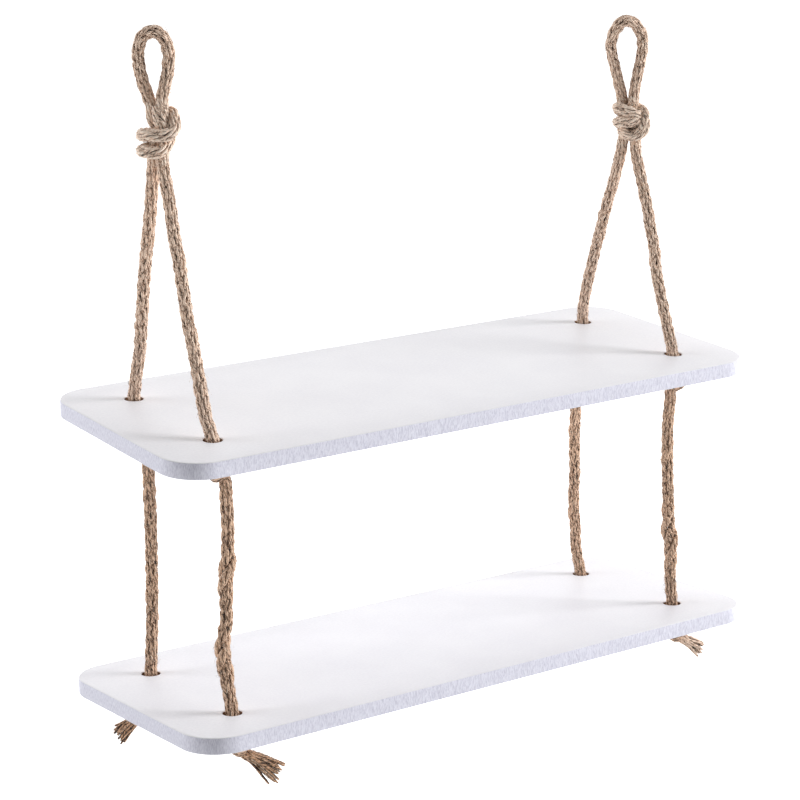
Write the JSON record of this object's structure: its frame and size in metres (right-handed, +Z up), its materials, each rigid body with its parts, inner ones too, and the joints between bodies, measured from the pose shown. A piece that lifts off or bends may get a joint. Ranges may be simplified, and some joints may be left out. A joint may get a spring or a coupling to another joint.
{
  "type": "rope wall shelf",
  "caption": "Hanging wall shelf: painted boards with rounded corners carried on knotted jute ropes that end in hanging loops.",
  "frame": {"origin": "halfway between the insides of the two hanging loops' tops, over the middle of the lower board", "axes": "+X along the boards' long edges, +Y towards the boards' back edges and the wall, +Z up along the hanging ropes"},
  "size_m": [0.4026, 0.1599, 0.4046],
  "materials": {
    "painted_wood": "white painted, satin, with fine sawn streaks under the paint on the edges",
    "jute": "matt, hairy, laid jute rope"
  },
  "bodies": {
    "root": {"lower_board": "painted_wood", "upper_board": "painted_wood", "left_loop": "jute", "right_loop": "jute", "left_loop_knot": "jute", "right_loop_knot": "jute", "back_left_leg": "jute", "back_left_span": "jute", "front_left_leg": "jute", "front_left_span": "jute", "back_right_leg": "jute", "back_right_span": "jute", "front_right_leg": "jute", "front_right_span": "jute", "back_left_upper_knot": "jute", "back_left_lower_knot": "jute", "front_left_upper_knot": "jute", "front_left_lower_knot": "jute", "back_right_upper_knot": "jute", "back_right_lower_knot": "jute", "front_right_upper_knot": "jute", "front_right_lower_knot": "jute", "back_left_tail": "jute", "front_left_tail": "jute", "back_right_tail": "jute", "front_right_tail": "jute"}
  },
  "joints": []
}
